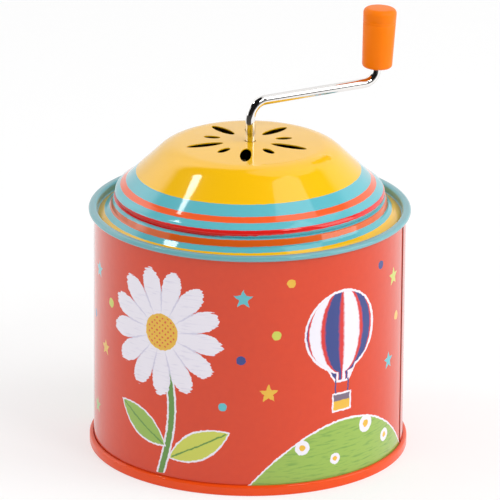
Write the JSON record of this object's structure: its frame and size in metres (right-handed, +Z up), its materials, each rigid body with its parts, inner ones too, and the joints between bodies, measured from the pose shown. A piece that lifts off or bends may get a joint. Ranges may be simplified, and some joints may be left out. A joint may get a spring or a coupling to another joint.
{
  "type": "hand-cranked music box",
  "caption": "Round tin music box with a domed, slotted lid, a bent wire crank with a turning knob, and a worm-driven pinned cylinder and comb inside.",
  "frame": {"origin": "on the ground at the centre of the can's foot, below the crank shaft", "axes": "+Z up along the crank shaft and can; the printed front faces -Y, and +X is to the right seen from the front"},
  "size_m": [0.0882, 0.0882, 0.1189],
  "materials": {
    "body_lacquer": "glossy printed lacquer on tinplate, orange red with a printed pattern",
    "base_lacquer": "glossy orange lacquer on tinplate",
    "lid_lacquer": "glossy printed lacquer on tinplate, yellow with teal, orange and red rings",
    "bright_wire": "bright plated steel wire",
    "knob_plastic": "satin gloss orange moulded plastic",
    "carrier_plastic": "black moulded plastic",
    "cast_zinc": "die-cast, satin",
    "bracket_steel": "zinc-plated strip",
    "spring_steel": "bright steel",
    "brass": "turned brass",
    "wheel_plastic": "white moulded plastic"
  },
  "bodies": {
    "housing": {"body_shell": "body_lacquer", "base_plate": "base_lacquer", "lid": "lid_lacquer", "carrier_disc": "carrier_plastic", "bedplate": "cast_zinc", "worm_bracket": "bracket_steel", "arbor_bracket_left": "bracket_steel", "arbor_bracket_right": "bracket_steel", "movement_screw_1": "spring_steel", "movement_screw_2": "spring_steel", "movement_screw_3": "spring_steel", "bracket_screw_1": "spring_steel", "bracket_screw_2": "spring_steel", "bracket_screw_3": "spring_steel", "comb": "spring_steel", "comb_screw_1": "spring_steel", "comb_screw_2": "spring_steel"},
    "crank": {"crank_wire": "bright_wire", "shaft_coupling": "brass", "coupling_screw_1": "spring_steel", "coupling_screw_2": "spring_steel", "worm_shaft": "brass", "shaft_clip": "spring_steel"},
    "knob": {"crank_knob": "knob_plastic"},
    "drum": {"drum_wheel": "wheel_plastic", "tune_cylinder": "brass", "cylinder_cap": "brass", "drum_arbor": "spring_steel", "arbor_clip_1": "spring_steel", "arbor_clip_2": "spring_steel"}
  },
  "joints": [
    {"name": "crank_turn", "type": "hinge", "parent": "housing", "child": "crank", "pos_m": [0, 0, 0], "axis": [0, 0, 1], "continuous": true},
    {"name": "knob_spin", "type": "hinge", "parent": "crank", "child": "knob", "pos_m": [0.03463, 0.02, 0.10189], "axis": [0.0408, 0.0236, 0.9989], "continuous": true},
    {"name": "drum_spin", "type": "hinge", "parent": "housing", "child": "drum", "pos_m": [0, -0.0098, 0.0597], "axis": [1, 0, 0], "continuous": true}
  ],
  "couplings": [
    {"joint": "drum_spin", "follows": "crank_turn", "ratio": -0.05}
  ]
}
